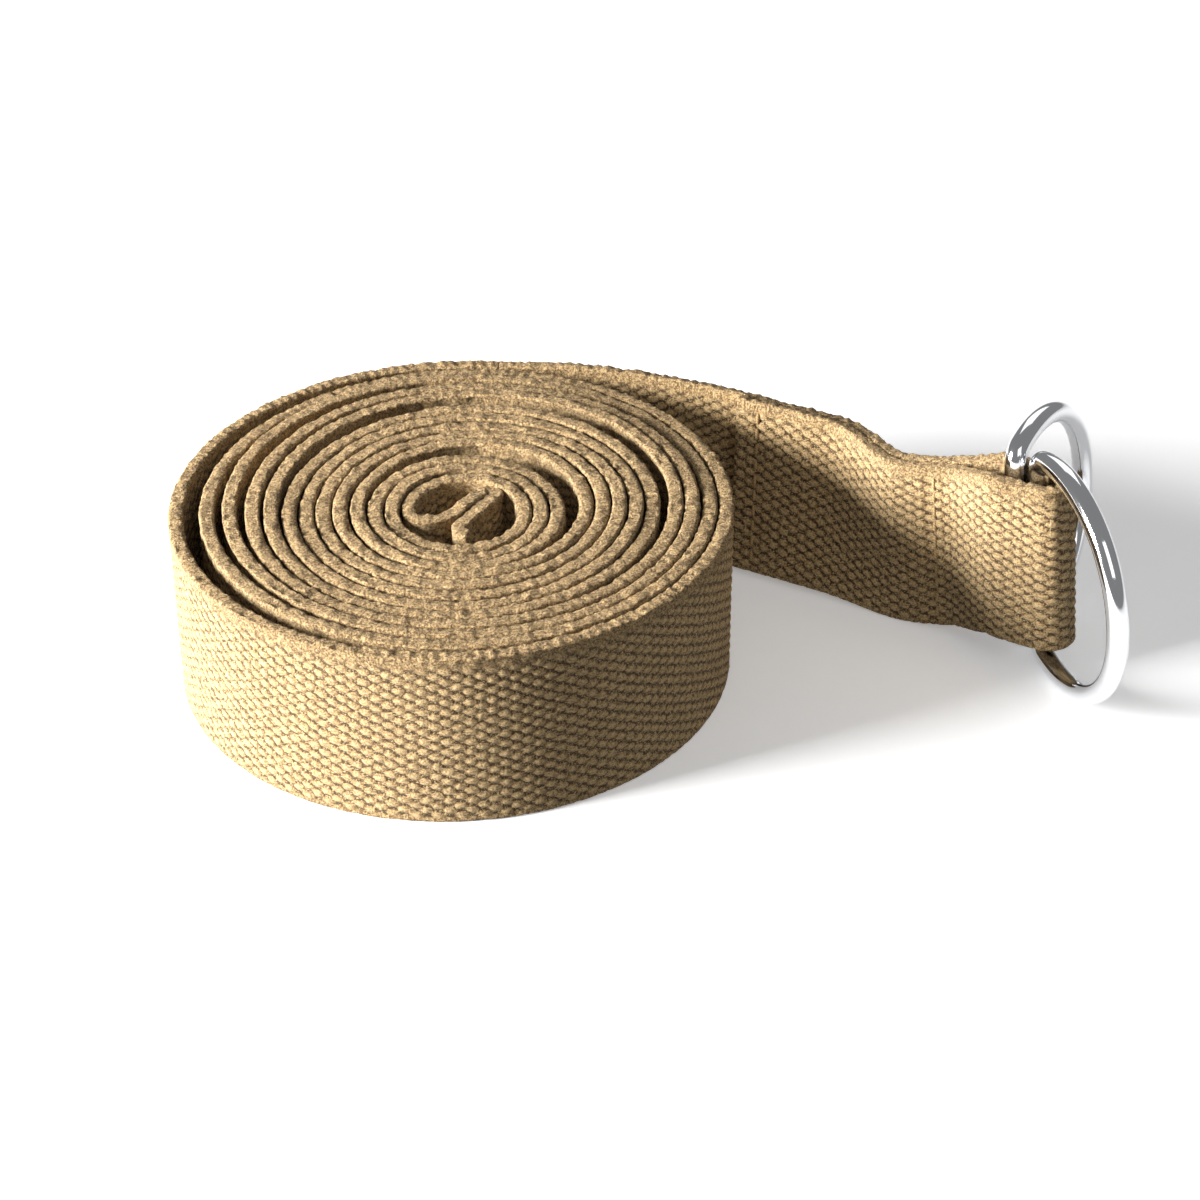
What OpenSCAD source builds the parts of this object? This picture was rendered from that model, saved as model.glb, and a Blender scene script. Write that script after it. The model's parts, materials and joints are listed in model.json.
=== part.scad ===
// Stretching strap: one length of cotton webbing, wound flat into a loose roll, whose outer
// end is folded back on itself and sewn into a loop that holds two D-rings.
// Units are millimetres and degrees, +Z is up, and the roll lies on the plane z = 0 with the
// middle of its core at the origin. The tail leaves the back of the roll towards +X.

/* [Webbing] */
// Width of the webbing, edge to edge
web_w = 38; // [20:1:60]
// Thickness of the webbing
web_t = 2.9; // [2:0.1:3.4]

/* [Roll] */
// Radius of the innermost whole turn, to the middle of the webbing
core_r = 10.8; // [10:0.1:16]
// Whole turns between the core and the end of the roll
whole_turns = 12; // [6:1:14]
// Free space between one turn and the next where the roll is tight
turn_slack = 0.48; // [0.3:0.02:1.2]
// First loose spot: turns out from the core, direction, opening
loose_inner = [3, 65, 4.4];
// Second loose spot: turns out from the core, direction, opening
loose_middle = [8, 85, 3.8];
// Third loose spot: turns out from the core, direction, opening
loose_outer = [10, 130, 3.6];
// Loose spot under the last turn: turns out from the core, direction, opening
loose_last = [11.6, 190, 2.9];
// Direction, seen from the core, in which the webbing leaves the roll
leave_dir = 85; // [75:1:95]
// Radius of the bend that takes the free end into the core
entry_r = 2.9; // [2.4:0.1:4]
// Space left inside the folded hem of the free end
hem_gap = 0.3; // [0.2:0.1:0.5]

/* [Tail] */
// Distance of the tail's lower edge at the front ring from the core, along X
ring_x = 119.2; // [112:0.2:150]
// Distance of the tail's lower edge at the front ring from the core, along Y
ring_y = 2.6; // [-10:0.2:15]
// Direction of the straight stretch of the tail
tail_dir = -28.6; // [-36:0.2:-26]
// Backward lean of the tail where it has left the roll
lean_root = 15; // [0:1:22]
// Backward lean of the tail at the loop's seam
lean_seam = -0.5; // [-4:0.5:10]
// Backward lean of the tail at the rings
lean_ring = -1.5; // [-3:0.5:10]
// Length over which the tail straightens up
twist_len = 22; // [12:0.5:40]
// Distance from where the tail has straightened up to the loop's seam
twist_end = 8.5; // [0:0.5:14]
// Height of the loop's lower edge over the surface that the roll lies on
loop_lift = 6.8; // [5:0.1:9]
// Length over which the lower edge rises to that height
lift_len = 26; // [20:1:60]
// Slant of the tab's cut end towards the roll
cut_rake = 6; // [0:0.5:10]
// Slant of the loop's seam towards the roll
seam_rake = 5.4; // [0:0.2:7]
// Slant of the loop's end towards the roll
loop_rake = 4.8; // [0:0.2:9]
// Distance of the loop's seam from the front ring's bar
seam_back = 21; // [18:0.5:30]
// Slack of the loop in front of the front ring's bar
loop_slack = 1.5; // [0.5:0.1:4]
// Length of the folded tab from the front ring's bar to its cut end
tab_len = 72; // [50:1:80]
// Free space between the tab and the webbing behind it
tab_gap = 0.2; // [0.1:0.05:0.5]

/* [Rings] */
// Diameter of the ring wire
wire_d = 4.5; // [3:0.1:5]
// How much farther the bow reaches past each edge of the webbing, to the middle of the wire
bow_room = 5.2; // [5:0.1:11]
// Distance of the bow's centre from the straight bar
bow_off = 9.6; // [6:0.2:12]
// Radius of the two corners, to the middle of the wire
corner_r = 3.6; // [3:0.1:4.5]
// Free space around each bar inside the loop
bar_gap = 0.8; // [0.5:0.05:1.2]
// Distance between the two bars
bar_step = 5; // [4.8:0.1:7]
// Turn of the front ring out of the line of the tail, towards the front
front_turn = -40; // [-60:1:-10]
// Turn of the rear ring out of the line of the tail, towards the back
rear_turn = 85; // [75:1:120]

/* [Sewing] */
// Diameter of the sewing thread
thread_d = 0.8; // [0.5:0.1:1]
// Length of one stitch
stitch_len = 2.6; // [2:0.1:4]
// Gap between one stitch and the next
stitch_gap = 0.8; // [0.4:0.1:2]
// Free space between the thread and the webbing under it
thread_gap = 0.1; // [0.05:0.05:0.3]
// Distance of the tab's end seam from its cut end
tab_seam_in = 5; // [3:0.5:10]

/* [Hidden] */

half_w = web_w / 2;
half_t = web_t / 2;
turn_pitch = web_t + turn_slack;
loose_spots = [loose_inner, loose_middle, loose_outer, loose_last];
core_dir = 180;      // direction of the spiral's inner end
turn_step = 10;      // degrees between points along a turn
bend_step = 15;      // degrees between points along a tight bend
weld_gap = 0.1;      // how far the wire stops short of the middle of a weld
weld_proud = 0.05;   // how far a weld stands proud of the wire
tail_steps = 10;     // lengths that the tail is swept in up to the tab's cut end
loop_steps = 6;      // lengths that each side of the loop is swept in
tab_steps = 12;      // lengths that the tab is swept in
web_colour = [0.74, 0.60, 0.40];
thread_colour = [0.80, 0.68, 0.48];
ring_colour = [0.86, 0.87, 0.88];

// ---- Curves ------------------------------------------------------------------------------

function clamp01(x) = max(0, min(1, x));
function smooth(x) = let (c = clamp01(x)) c * c * (3 - 2 * c);
function mix(a, b, x) = a + (b - a) * x;
function unit(v) = v / norm(v);
function heading(a, b) = atan2(b.y - a.y, b.x - a.x);
function back(list) = [for (i = [len(list) - 1 : -1 : 0]) list[i]];

// Direction seen from the core after t turns outwards
function turn_dir(t) = core_dir - 360 * t;

// How far one loose spot pushes the webbing outwards after t turns
function loosened(spot, t) =
    spot[2] * pow((1 + cos(turn_dir(t) - spot[1])) / 2, 2) * smooth((t - spot[0]) / 0.5 + 0.5);

// Radius of the webbing's middle after t turns
function turn_r(t) = core_r + turn_pitch * t + (loosened(loose_spots[0], t)
    + loosened(loose_spots[1], t) + loosened(loose_spots[2], t) + loosened(loose_spots[3], t));

function turn_point(t) = turn_r(t) * [cos(turn_dir(t)), sin(turn_dir(t))];

// A pen that starts at p, faces dir, and draws arcs and straight runs given as
// [turn in degrees, radius] or [0, length]
function pen(p, dir, moves, i = 0) =
    i == len(moves) ? [] :
    let (m = moves[i],
         side = m[0] > 0 ? 90 : -90,
         centre = p + m[1] * [cos(dir + side), sin(dir + side)],
         n = m[0] == 0 ? 3 : max(2, ceil(abs(m[0]) / bend_step)),
         run = m[0] == 0
             ? [for (k = [1 : n]) p + m[1] * k / n * [cos(dir), sin(dir)]]
             : [for (k = [1 : n]) let (a = dir - side + m[0] * k / n)
                   centre + m[1] * [cos(a), sin(a)]])
    concat(run, pen(run[n - 1], dir + m[0], moves, i + 1));

// Middle line of the roll, from the cut end inside the hem to where the tail begins
roll_turns = whole_turns + (core_dir - leave_dir) / 360;
roll_n = ceil(roll_turns * 360 / turn_step);
spiral = [for (i = [0 : roll_n]) turn_point(roll_turns * i / roll_n)];
hem_r = (web_t + hem_gap) / 2;
cross_bend = 0.83 * core_r;      // radius in which the free end crosses the core
cross_run = 0.68 * core_r;       // and the straight run that follows
flap_run = 1.05 * core_r;        // length of the hem's flap before its end curls
flap_bend = 0.23 * core_r;       // radius of that curl
curl = pen(spiral[0], heading(spiral[1], spiral[0]),
           [[87, entry_r], [56, cross_bend], [0, cross_run],
            [-180, hem_r], [0, flap_run], [120, flap_bend]]);
roll_line = concat(back(curl), spiral);

// Unit vector across the line at point i, to the left of its run
function side_of(line, i) =
    let (a = line[max(0, i - 1)], b = line[min(len(line) - 1, i + 1)], d = unit(b - a))
    [-d.y, d.x];

function ribbon(line) = concat(
    [for (i = [0 : len(line) - 1]) line[i] + half_t * side_of(line, i)],
    back([for (i = [0 : len(line) - 1]) line[i] - half_t * side_of(line, i)]));

// ---- Tail --------------------------------------------------------------------------------

// The tail's lower edge runs from the roll's end on one arc and then straight past the bars
root = spiral[roll_n];
root_dir = heading(spiral[roll_n - 1], spiral[roll_n]);
along = [cos(tail_dir), sin(tail_dir)];
behind = [-sin(tail_dir), cos(tail_dir)];
bar_off = wire_d / 2 + bar_gap + half_t;      // from a bar's middle to the webbing's middle
front_bar = [ring_x, ring_y];
foot = front_bar + bar_off * behind;          // the tail's lower edge beside the front bar
root_run = [cos(root_dir), sin(root_dir)];
cross_z = root_run.x * along.y - root_run.y * along.x;
reach = ((foot - root).x * along.y - (foot - root).y * along.x) / cross_z;
corner = root + reach * root_run;
arc_turn = root_dir - tail_dir;
arc_r = reach / tan(arc_turn / 2);
arc_len = arc_r * arc_turn * PI / 180;
arc_centre = root + arc_r * [cos(root_dir - 90), sin(root_dir - 90)];
arc_end = corner + reach * along;
tail_len = arc_len + norm(foot - arc_end);
seam_at = tail_len - seam_back;
settle_len = seam_back - bar_step - wire_d;   // past the seam; beside the bars it lies flat
cut_at = tail_len - tab_len;

function tail_heading(s) = root_dir - arc_turn * clamp01(s / arc_len);
function tail_plan(s) = s < arc_len
    ? arc_centre + arc_r * [cos(tail_heading(s) + 90), sin(tail_heading(s) + 90)]
    : arc_end + (s - arc_len) * along;

// Lean, slant and height over the surface along the tail
function lean(s) = s < seam_at
    ? lean_root * smooth(s / cut_at)
      - (lean_root - lean_seam) * smooth((s - seam_at + twist_end) / twist_len + 1)
    : mix(lean_seam, lean_ring, smooth((s - seam_at) / settle_len));
function rake(s) = s < cut_at ? cut_rake * smooth(s / cut_at)
    : mix(mix(cut_rake, seam_rake, smooth((s - cut_at) / (seam_at - cut_at))), loop_rake,
          smooth((s - seam_at) / settle_len));
function lift(s) = loop_lift * pow(clamp01((s - seam_at - settle_len) / lift_len + 1), 2);
function run_dir(s) = [cos(tail_heading(s)), sin(tail_heading(s)), 0];
function up_dir(s) = unit(sin(lean(s)) * [-run_dir(s).y, run_dir(s).x, 0]
    - sin(rake(s)) * run_dir(s) + cos(lean(s)) * cos(rake(s)) * [0, 0, 1]);
function back_dir(s) = unit(cross(up_dir(s), run_dir(s)));
function tail_mid(s) = let (p = tail_plan(s))
    [p.x, p.y, lift(s) + half_t * abs(sin(lean(s)))] + half_w * up_dir(s);

// A point beside the tail: s along it and e behind it (in front where e is negative)
function beside(s, e) = tail_mid(s) + e * back_dir(s);

// One cross-section of webbing whose middle is at [s, e] and whose face looks along angle a,
// where 0 is behind the tail and -90 is along it
function section(p, a) =
    let (mid = beside(p[0], p[1]), up = half_w * up_dir(p[0]),
         out = half_t * (cos(a) * back_dir(p[0]) - sin(a) * unit(cross(back_dir(p[0]), up))))
    [mid - up + out, mid + up + out, mid + up - out, mid - up - out];

// A solid swept through a list of four-cornered sections
module sweep(sections) {
    n = len(sections);
    sides = [for (i = [0 : n - 2], k = [0 : 3])
        let (a = 4 * i + k, b = 4 * i + (k + 1) % 4) each [[a, b, b + 4], [a, b + 4, a + 4]]];
    ends = [[3, 2, 1, 0], [for (k = [0 : 3]) 4 * (n - 1) + k]];
    polyhedron(points = [for (q = sections) each q], faces = concat(sides, ends), convexity = 6);
}

// ---- Rings -------------------------------------------------------------------------------

bow_r = half_w + bow_room;
bar_half = sqrt(pow(bow_r - corner_r, 2) - pow(bow_off - corner_r, 2));
bow_half = atan2(bar_half, corner_r - bow_off);   // half the angle that the bow covers
corner_turn = 180 - bow_half;
ring_up = up_dir(tail_len);
ring_run = cross(back_dir(tail_len), ring_up);

// Direction in which a ring reaches out, turned by a from the line of the tail
function ring_out(a) = cos(a) * ring_run + sin(a) * unit(cross(ring_up, ring_run));

// Middle of a bar: step back along the tail, and slid along the bar as far as it can go for
// the ring to rest on z = 0
function bar_mid(step, a) =
    let (o = ring_out(a), u = ring_up,
         p = beside(tail_len, -bar_off) - step * ring_run,
         low = p.z + bow_off * o.z - bow_r * sqrt(o.z * o.z + u.z * u.z) - wire_d / 2)
    p - min(ring_slide, max(-ring_slide, low / u.z)) * u;
ring_slide = 1.1;     // how far a ring can shift along its bar before it meets the webbing

// Puts children drawn with +X out of the bar and +Y along it into place
module ring_place(step, a) {
    o = ring_out(a);
    u = ring_up;
    s = cross(o, u);
    p = bar_mid(step, a);
    multmatrix([[o.x, u.x, s.x, p.x], [o.y, u.y, s.y, p.y], [o.z, u.z, s.z, p.z], [0, 0, 0, 1]])
        children();
}

module wire_arc(r, from, turn) {
    rotate([0, 0, from])
        rotate_extrude(angle = turn, $fn = 96)
            translate([r, 0]) circle(d = wire_d, $fn = 48);
}

// A D-ring: straight bar, two tight corners and a wide bow. Each length of wire stops short
// of the next, inside a weld that joins them.
module d_ring() {
    bow_cut = weld_gap / bow_r * 180 / PI;
    corner_cut = weld_gap / corner_r * 180 / PI;
    rotate([90, 0, 0])
        cylinder(h = 2 * (bar_half - weld_gap), d = wire_d, center = true, $fn = 48);
    for (m = [-1, 1]) {
        translate([0, m * bar_half, 0]) weld();
        translate([bow_off + bow_r * cos(bow_half), m * bow_r * sin(bow_half), 0]) weld();
        translate([corner_r, m * bar_half, 0])
            wire_arc(corner_r, m > 0 ? bow_half + corner_cut : corner_cut - 180,
                     corner_turn - 2 * corner_cut);
    }
    translate([bow_off, 0, 0])
        wire_arc(bow_r, bow_cut - bow_half, 2 * (bow_half - bow_cut));
}

module weld() {
    sphere(d = wire_d + 2 * weld_proud, $fn = 48);
}

// ---- Webbing -----------------------------------------------------------------------------

module strap_roll() {
    color(web_colour)
        linear_extrude(height = web_w) polygon(ribbon(roll_line));
}

module strap_tail() {
    color(web_colour)
        sweep([for (i = [0 : tail_steps]) section([cut_at * i / tail_steps, 0], 0),
               for (i = [1 : tab_steps]) section([mix(cut_at, seam_at, i / tab_steps), 0], 0)]);
}

// Middle line of the loop: out along the back, round the front bar, and back along the front
tab_off = -(web_t + tab_gap);
loop_flare = 0.7;     // share of the loop's length in which its front spreads to the bar
loop_back = [for (i = [0 : loop_steps]) [mix(seam_at, tail_len, i / loop_steps), 0, 0]];
loop_bend = [for (a = [0 : bend_step : 180])
    [tail_len + loop_slack + bar_off * sin(a), -bar_off * (1 - cos(a)), -a]];
loop_front = [for (i = [loop_steps : -1 : 0])
    let (x = i / loop_steps)
    [mix(seam_at, tail_len, x), mix(tab_off, -2 * bar_off, smooth(x / loop_flare)), -180]];

module ring_loop() {
    color(web_colour)
        sweep([for (p = concat(loop_back, loop_bend, loop_front)) section(p, p[2])]);
}

module loop_tab() {
    color(web_colour)
        sweep([for (i = [0 : tab_steps])
            section([mix(cut_at, seam_at, i / tab_steps), tab_off], 0)]);
}

module front_ring() {
    color(ring_colour) ring_place(0, front_turn) d_ring();
}

module rear_ring() {
    color(ring_colour) ring_place(bar_step, rear_turn) d_ring();
}

// ---- Sewing ------------------------------------------------------------------------------

stitch_n = floor((web_w - 2 * stitch_gap) / (stitch_len + stitch_gap));

// One stitch, a short length of thread lying along Z
module stitch() {
    cylinder(h = stitch_len, d = thread_d, center = true, $fn = 16);
}

// A row of stitches across the webbing, just proud of the face that lies e behind the tail
module stitch_row(s, e) {
    o = run_dir(s);
    u = up_dir(s);
    b = back_dir(s);
    p = beside(s, e);
    multmatrix([[o.x, b.x, u.x, p.x], [o.y, b.y, u.y, p.y], [o.z, b.z, u.z, p.z], [0, 0, 0, 1]])
        for (i = [0 : stitch_n - 1])
            translate([0, 0, (i - (stitch_n - 1) / 2) * (stitch_len + stitch_gap)]) stitch();
}

// A seam through both layers: one row on the tab's face and one on the webbing's back
module seam(s) {
    proud = half_t + thread_d / 2 + thread_gap;
    color(thread_colour) {
        stitch_row(s, tab_off - proud);
        stitch_row(s, proud);
    }
}

module loop_seam() {
    seam(seam_at - stitch_gap - thread_d);
}

module tab_seam() {
    seam(cut_at + tab_seam_in);
}

// The free end's hem is sewn across its flap, on the face that looks into the core
module hem_seam() {
    i = 2;            // point of the roll's line, just short of the flap's cut end
    out = side_of(roll_line, i);
    p = roll_line[i] + (half_t + thread_d / 2 + thread_gap) * out;
    color(thread_colour)
        for (k = [0 : stitch_n - 1])
            translate([p.x, p.y, half_w + (k - (stitch_n - 1) / 2) * (stitch_len + stitch_gap)])
                stitch();
}

strap_roll();
strap_tail();
ring_loop();
loop_tab();
front_ring();
rear_ring();
loop_seam();
tab_seam();
hem_seam();
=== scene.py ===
"""Stretching strap: cotton webbing wound into a loose roll, with two D-rings in its sewn loop.

Every length is in metres and every angle in degrees unless it says otherwise. One line
through the middle of the webbing is worked out from the free end in the core to the cut end
of the loop's tab, and each stretch of webbing is built along its own part of that line.
"""
import json
import math
import bpy
import numpy as np
from mathutils import Matrix, Vector


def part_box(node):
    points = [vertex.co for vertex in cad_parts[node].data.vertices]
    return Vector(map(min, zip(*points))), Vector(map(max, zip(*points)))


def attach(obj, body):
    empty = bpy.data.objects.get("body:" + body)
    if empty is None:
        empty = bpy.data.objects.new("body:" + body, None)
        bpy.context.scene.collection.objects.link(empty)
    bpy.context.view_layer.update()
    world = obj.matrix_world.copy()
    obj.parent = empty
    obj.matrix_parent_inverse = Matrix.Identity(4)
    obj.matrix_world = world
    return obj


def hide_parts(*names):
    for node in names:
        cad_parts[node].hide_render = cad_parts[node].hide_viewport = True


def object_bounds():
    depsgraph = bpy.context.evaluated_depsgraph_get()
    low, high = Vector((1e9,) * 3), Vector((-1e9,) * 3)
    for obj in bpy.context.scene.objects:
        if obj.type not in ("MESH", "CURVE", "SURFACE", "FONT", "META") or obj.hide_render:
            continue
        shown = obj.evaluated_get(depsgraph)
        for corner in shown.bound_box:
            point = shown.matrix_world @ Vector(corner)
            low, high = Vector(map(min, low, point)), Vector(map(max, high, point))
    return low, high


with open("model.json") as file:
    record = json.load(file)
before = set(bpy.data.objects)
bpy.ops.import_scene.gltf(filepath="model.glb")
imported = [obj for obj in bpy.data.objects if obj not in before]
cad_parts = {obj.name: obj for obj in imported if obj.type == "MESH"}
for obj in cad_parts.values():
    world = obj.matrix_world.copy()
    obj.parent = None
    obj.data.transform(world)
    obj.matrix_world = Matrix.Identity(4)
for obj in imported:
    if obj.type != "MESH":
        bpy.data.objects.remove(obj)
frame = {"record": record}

bl_info = {
    "name": "Stretching strap",
    "version": (1, 0, 0),
    "blender": (4, 5, 0),
    "location": "3D View > Sidebar > Strap",
    "description": "Builds a rolled webbing strap with two D-rings in a sewn loop",
    "category": "Add Mesh",
}

MM = 0.001
CAD_BOX = [list(corner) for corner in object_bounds()]
ROLL_LOW, ROLL_HIGH = (Vector(corner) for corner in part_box("strap_roll"))
JOINTS = {joint["name"]: joint for joint in frame["record"]["behaviour"]["joints"]}
STRAP_BODY = "strap"


# ---- Settings ----------------------------------------------------------------------------

def length(name, description, millimetres, low=0.0):
    return bpy.props.FloatProperty(
        name=name, description=description, default=millimetres * MM, min=low * MM,
        unit="LENGTH", precision=5)


def degrees(name, description, value):
    return bpy.props.FloatProperty(name=name, description=description, default=value)


def colour(name, description, value):
    return bpy.props.FloatVectorProperty(
        name=name, description=description, default=value, size=3, min=0.0, max=1.0,
        subtype="COLOR")


class WebbingSettings(bpy.types.PropertyGroup):
    width: length("Width", "Width of the webbing", (ROLL_HIGH.z - ROLL_LOW.z) / MM)
    thickness: length("Thickness", "Thickness of the webbing", 2.9)
    along: length("Rib pitch", "Distance from one rib of the weave to the next", 2.17)
    across: length("Bump pitch", "Distance between the bumps of one rib", 2.30)
    relief: length("Relief", "Depth of the hollows between the bumps", 0.44)
    nap: length("Nap", "How far the fibres stand out of the webbing", 0.10)
    grain: length("Grain", "Roughness of the selvedge", 0.12)
    yarn: colour("Yarn", "Colour of the cotton yarn", (0.540, 0.330, 0.135))
    # Yarn highlight: painted highlight, a lit copy of the yarn colour for the crowns of the bumps
    # and the tufts of the grain
    yarn_highlight: colour("Light yarn", "Colour of the crowns of the bumps", (0.860, 0.620, 0.310))
    # Hollow shade: painted shade colour, put deep between the bumps and in the pits of the grain
    hollow_shade: colour("Hollows", "Colour deep between the bumps", (0.075, 0.036, 0.010))


class RollSettings(bpy.types.PropertyGroup):
    core: length("Core radius", "Radius of the innermost whole turn", 10.8)
    slack: length("Slack", "Free space between tight turns", 0.48)
    turns: bpy.props.IntProperty(name="Turns", description="Whole turns", default=12, min=3)
    leave: degrees("Leaving direction", "Where the webbing leaves the roll", 85.0)
    proud: length("Proud", "How far the inner turns stand up at the back", 1.9)


class TailSettings(bpy.types.PropertyGroup):
    foot_x: length("Foot X", "Lower edge of the tail at the front ring, along X", 119.2)
    foot_y: length("Foot Y", "Lower edge of the tail at the front ring, along Y", 2.6, -50)
    heading: degrees("Heading", "Direction of the straight stretch", -28.6)
    lean_root: degrees("Lean by the roll", "Backward lean past the roll", 15.0)
    lean_seam: degrees("Lean at the seam", "Backward lean at the loop's seam", -0.5)
    lean_ring: degrees("Lean at the rings", "Backward lean at the rings", -1.5)
    twist: length("Twist", "Length over which the tail straightens up", 22.0)
    twist_end: length("Twist end", "From the end of the twist to the loop's seam", 8.5)
    lift: length("Lift", "Height of the loop's lower edge", 6.8)
    lift_len: length("Lift length", "Length over which the lower edge rises", 26.0)
    rake_cut: degrees("Cut end rake", "Slant of the tab's cut end", 6.0)
    rake_seam: degrees("Seam rake", "Slant of the loop's seam", 5.4)
    rake_ring: degrees("Loop rake", "Slant of the loop's end", 4.8)
    seam_back: length("Seam", "Front ring's bar to the loop's seam", 21.0)
    loop_slack: length("Loop slack", "Slack in front of the front bar", 1.5)
    tab: length("Tab", "Front ring's bar to the tab's cut end", 72.0)
    tab_gap: length("Tab gap", "Free space behind the tab", 0.2)


class RingSettings(bpy.types.PropertyGroup):
    wire: length("Wire", "Diameter of the ring wire", 4.5)
    room: length("Bow room", "How far the bow reaches past each edge of the webbing", 5.2)
    bow_off: length("Bow offset", "Distance of the bow's centre from the bar", 9.6)
    corner: length("Corner radius", "Radius of the corners", 3.6)
    gap: length("Bar gap", "Free space round each bar in the loop", 0.8)
    step: length("Bar step", "Distance between the two bars", 5.0)
    metal: colour("Metal", "Colour of the plated wire", (0.83, 0.84, 0.86))


class SewingSettings(bpy.types.PropertyGroup):
    thread: length("Thread", "Diameter of the sewing thread", 0.8)
    stitch: length("Stitch", "Length of one stitch", 2.6)
    gap: length("Gap", "Gap between stitches", 0.8)
    tab_seam_in: length("Tab seam", "Tab's cut end to its seam", 5.0)
    colour: colour("Thread colour", "Colour of the thread", (0.560, 0.370, 0.165))


class StageSettings(bpy.types.PropertyGroup):
    floor: colour("Floor", "Colour of the floor", (0.93, 0.93, 0.93))
    glow: bpy.props.FloatProperty(name="Floor glow", description="Light of the floor itself",
                                  default=0.28)
    key: bpy.props.FloatProperty(name="Key light", description="Power in watts", default=56.0)
    fill: bpy.props.FloatProperty(name="Fill light", description="Power in watts", default=1.5)
    reflector: bpy.props.FloatProperty(name="Reflector", description="Power in watts",
                                       default=1.4)
    sky: bpy.props.FloatProperty(name="Sky", description="Strength of the sky", default=0.24)


# Loose spots in the roll: turns out from the core, direction, how far the webbing bulges
LOOSE_SPOTS = ((3.0, 65.0, 4.4 * MM), (8.0, 85.0, 3.8 * MM), (10.0, 130.0, 3.6 * MM),
               (11.6, 190.0, 2.9 * MM))
CORE_DIRECTION = 180.0      # direction of the spiral's inner end, seen from the core
LOOSE_RAMP = 0.5            # turns over which a loose spot opens
TURN_POINTS = 240           # points of the line to one turn of the roll
RUN_STEP = 0.5 * MM         # length between points along a straight run
BEND_POINTS = 40            # points of the bend round the bars
ROOT_TURN = 1 / 36          # turns over which the roll's last direction is taken
LOOP_FLARE = 0.7            # share of the loop in which its front spreads to the bar

# The free end's way through the core; lengths without a unit are shares of the core's radius
ENTRY_BEND = 2.9 * MM       # radius of the bend that takes it into the core
CROSS_BEND = 0.83           # radius in which it crosses the core
CROSS_RUN = 0.68            # and the straight run that follows
HEM_GAP = 0.3 * MM          # space left inside the folded hem
FLAP_RUN = 1.05             # length of the hem's flap before its end curls
FLAP_BEND = 0.23            # radius of that curl

# How unevenly the turns stand, in turns out from the core
PROUD_FROM = (-0.6, 1.2)    # where the turns start to stand up at the back, and over how many
PROUD_TO = (8.8, 2.4)       # where they stop, and over how many
PROUD_FALL = 1.5            # how fast it falls off away from the back
RIPPLE_TO = 10.9            # where the ripple starts to fade
RIPPLES = ((0.22 * MM, 7.1, 0.0), (0.16 * MM, 17.3, 1.0))   # height, radians a turn, start


# ---- Curves ------------------------------------------------------------------------------

def smooth(x):
    c = np.clip(x, 0.0, 1.0)
    return c * c * (3.0 - 2.0 * c)


def mix(a, b, x):
    return a + (b - a) * x


def unit(v):
    return v / np.linalg.norm(v)


def heading_vector(angle):
    return np.array([math.cos(math.radians(angle)), math.sin(math.radians(angle))])


def pen(point, angle, moves, step=4.0):
    """Draws arcs (turn in degrees, radius) and straight runs (0, length) from a point."""
    points = []
    for turn, size in moves:
        if turn == 0:
            count = max(2, int(size / RUN_STEP))
            points += [point + heading_vector(angle) * size * k / count
                       for k in range(1, count + 1)]
        else:
            side = 90.0 if turn > 0 else -90.0
            centre = point + size * heading_vector(angle + side)
            count = max(2, math.ceil(abs(turn) / step))
            points += [centre + size * heading_vector(angle - side + turn * k / count)
                       for k in range(1, count + 1)]
            angle += turn
        point = points[-1]
    return np.array(points)


class Line:
    """The middle line of the webbing: points, the way its width runs, and its length so far."""

    def __init__(self, points, ups):
        self.points = np.asarray(points)
        self.ups = np.asarray(ups)
        steps = np.linalg.norm(np.diff(self.points, axis=0), axis=1)
        self.at = np.concatenate([[0.0], np.cumsum(steps)])

    def sample(self, where):
        """Points, ups and outward normals at the given lengths."""
        points = np.stack([np.interp(where, self.at, self.points[:, k]) for k in range(3)], 1)
        ups = np.stack([np.interp(where, self.at, self.ups[:, k]) for k in range(3)], 1)
        tangents = np.gradient(points, axis=0)
        outs = np.cross(ups, tangents)
        outs /= np.linalg.norm(outs, axis=1)[:, None]
        ups /= np.linalg.norm(ups, axis=1)[:, None]
        return points, ups, outs


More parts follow.
